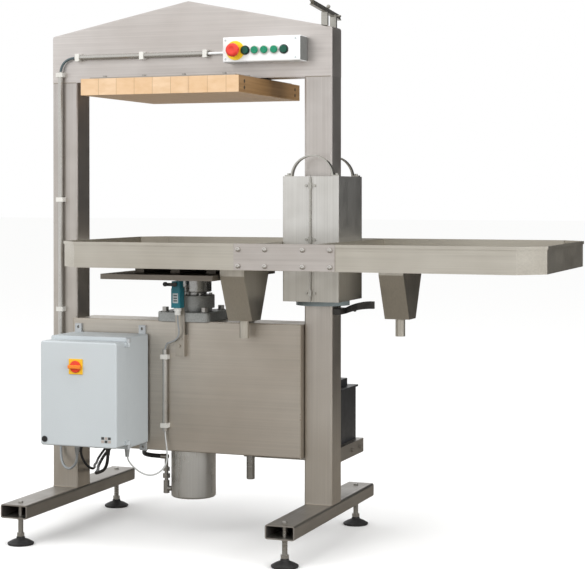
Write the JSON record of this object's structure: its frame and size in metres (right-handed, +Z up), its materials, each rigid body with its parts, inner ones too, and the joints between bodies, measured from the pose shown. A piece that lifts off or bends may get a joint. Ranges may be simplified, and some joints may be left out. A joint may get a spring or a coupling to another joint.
{
  "type": "twin-tub hydraulic cloth press",
  "caption": "Gabled stainless press frame with a hydraulic ram under a wooden top board and two joined juice tubs that slide and swivel on the right column.",
  "frame": {"origin": "on the floor, under the middle of the whole machine's box", "axes": "+Z up, -Y towards the operator, +X towards the free tub"},
  "size_m": [1.65, 0.745, 1.6678],
  "materials": {
    "brushed_stainless": "brushed, satin",
    "cast_steel": "machined and silver painted",
    "zinc_fitting": "zinc plated",
    "blackened_steel": "blackened",
    "black_paint": "semi-gloss black",
    "grey_paint": "light grey textured powder coat",
    "maple_block": "oiled end-grain and long-grain staves",
    "black_rubber": "matt",
    "bearing_plastic": "grey nylon bearing",
    "white_plastic": "moulded",
    "teal_plastic": "moulded",
    "black_plastic": "moulded",
    "grey_plastic": "moulded",
    "red_plastic": "gloss",
    "yellow_plastic": "moulded",
    "green_plastic": "gloss",
    "grey_cable": "PVC sheath"
  },
  "bodies": {
    "frame": {"board_plate": "brushed_stainless", "cabinet_body": "grey_paint", "cabinet_fittings": "grey_plastic", "cloth_hanger": "brushed_stainless", "conduits": "brushed_stainless", "control_cable": "grey_cable", "control_gear": "grey_plastic", "corner_cable": "grey_cable", "crossbeam": "brushed_stainless", "crown_gable": "brushed_stainless", "cylinder_barrel": "cast_steel", "cylinder_bolts": "brushed_stainless", "cylinder_head": "cast_steel", "estop_collar": "yellow_plastic", "foot_pads": "black_rubber", "hydraulic_hose": "black_rubber", "left_column": "brushed_stainless", "left_foot_rail": "brushed_stainless", "limit_switch": "teal_plastic", "motor_cable": "black_rubber", "pipe_clips": "white_plastic", "port_fitting": "zinc_fitting", "power_unit": "black_paint", "right_column": "brushed_stainless", "right_foot_rail": "brushed_stainless", "station_housing": "grey_plastic", "supply_cable": "black_rubber", "switch_bracket": "brushed_stainless", "switch_cable_lower": "grey_cable", "switch_cable_upper": "grey_cable", "swivel_stop": "blackened_steel", "top_board": "maple_block", "unit_shelf": "brushed_stainless"},
    "ram": {"ram_rod": "cast_steel", "lower_platen": "brushed_stainless", "guide_rod": "brushed_stainless"},
    "carriage": {"column_carriage": "bearing_plastic"},
    "tub_turntable": {"sleeve_shell_left": "brushed_stainless", "sleeve_shell_right": "brushed_stainless", "sleeve_fittings": "brushed_stainless", "tub_left": "brushed_stainless", "tub_right": "brushed_stainless", "drain_hopper_left": "brushed_stainless", "drain_hopper_right": "brushed_stainless", "splice_plates": "brushed_stainless"},
    "door": {"cabinet_door": "grey_paint"},
    "door_lock": {"door_lock": "black_plastic"},
    "isolator": {"isolator_knob": "red_plastic"},
    "estop": {"estop_button": "red_plastic"},
    "switch_lever": {"switch_lever": "zinc_fitting"},
    "switch_roller": {"switch_roller": "black_plastic"},
    "button_1": {"push_button_1": "green_plastic"},
    "button_2": {"push_button_2": "green_plastic"},
    "button_3": {"push_button_3": "green_plastic"},
    "button_4": {"push_button_4": "green_plastic"},
    "button_5": {"push_button_5": "green_plastic"},
    "foot_front_left": {"foot_stem_front_left": "brushed_stainless"},
    "foot_front_right": {"foot_stem_front_right": "brushed_stainless"},
    "foot_rear_left": {"foot_stem_rear_left": "brushed_stainless"},
    "foot_rear_right": {"foot_stem_rear_right": "brushed_stainless"}
  },
  "joints": [
    {"name": "ram_lift", "type": "slide", "parent": "frame", "child": "ram", "axis": [0, 0, 1], "range_m": [0, 0.23]},
    {"name": "carriage_lift", "type": "slide", "parent": "frame", "child": "carriage", "axis": [0, 0, 1], "range_m": [0, 0.23]},
    {"name": "tub_swivel", "type": "hinge", "parent": "carriage", "child": "tub_turntable", "pos_m": [0.08, 0, 0.886], "axis": [0, 0, 1], "range_deg": [0, 90]},
    {"name": "door_hinge", "type": "hinge", "parent": "frame", "child": "door", "pos_m": [-0.463, -0.23315, 0.462], "axis": [0, 0, 1], "range_deg": [0, 110]},
    {"name": "lock_turn", "type": "hinge", "parent": "door", "child": "door_lock", "pos_m": [-0.712, -0.302, 0.322], "axis": [0, -1, 0], "range_deg": [0, 90]},
    {"name": "isolator_turn", "type": "hinge", "parent": "door", "child": "isolator", "pos_m": [-0.605, -0.305, 0.546], "axis": [0, -1, 0], "range_deg": [0, 90]},
    {"name": "estop_press", "type": "slide", "parent": "frame", "child": "estop", "axis": [0, 1, 0], "range_m": [0, 0.004], "stiffness_N_per_m": 3000},
    {"name": "switch_lever_swing", "type": "hinge", "parent": "frame", "child": "switch_lever", "pos_m": [-0.355, -0.127, 0.79], "axis": [0, 1, 0], "range_deg": [-20, 20], "stiffness_Nm_per_rad": 0.4},
    {"name": "switch_roller_spin", "type": "hinge", "parent": "switch_lever", "child": "switch_roller", "pos_m": [-0.386, -0.133, 0.791], "axis": [0, 1, 0], "continuous": true},
    {"name": "button_1_press", "type": "slide", "parent": "frame", "child": "button_1", "axis": [0, 1, 0], "range_m": [0, 0.0035], "stiffness_N_per_m": 1500},
    {"name": "button_2_press", "type": "slide", "parent": "frame", "child": "button_2", "axis": [0, 1, 0], "range_m": [0, 0.0035], "stiffness_N_per_m": 1500},
    {"name": "button_3_press", "type": "slide", "parent": "frame", "child": "button_3", "axis": [0, 1, 0], "range_m": [0, 0.0035], "stiffness_N_per_m": 1500},
    {"name": "button_4_press", "type": "slide", "parent": "frame", "child": "button_4", "axis": [0, 1, 0], "range_m": [0, 0.0035], "stiffness_N_per_m": 1500},
    {"name": "button_5_press", "type": "slide", "parent": "frame", "child": "button_5", "axis": [0, 1, 0], "range_m": [0, 0.0035], "stiffness_N_per_m": 1500},
    {"name": "foot_front_left_screw", "type": "hinge", "parent": "frame", "child": "foot_front_left", "pos_m": [-0.78, -0.33, 0.06], "axis": [0, 0, 1], "continuous": true},
    {"name": "foot_front_right_screw", "type": "hinge", "parent": "frame", "child": "foot_front_right", "pos_m": [0.08, -0.33, 0.06], "axis": [0, 0, 1], "continuous": true},
    {"name": "foot_rear_left_screw", "type": "hinge", "parent": "frame", "child": "foot_rear_left", "pos_m": [-0.78, 0.322, 0.06], "axis": [0, 0, 1], "continuous": true},
    {"name": "foot_rear_right_screw", "type": "hinge", "parent": "frame", "child": "foot_rear_right", "pos_m": [0.08, 0.322, 0.06], "axis": [0, 0, 1], "continuous": true}
  ],
  "couplings": [
    {"joint": "carriage_lift", "follows": "ram_lift", "ratio": 1}
  ]
}
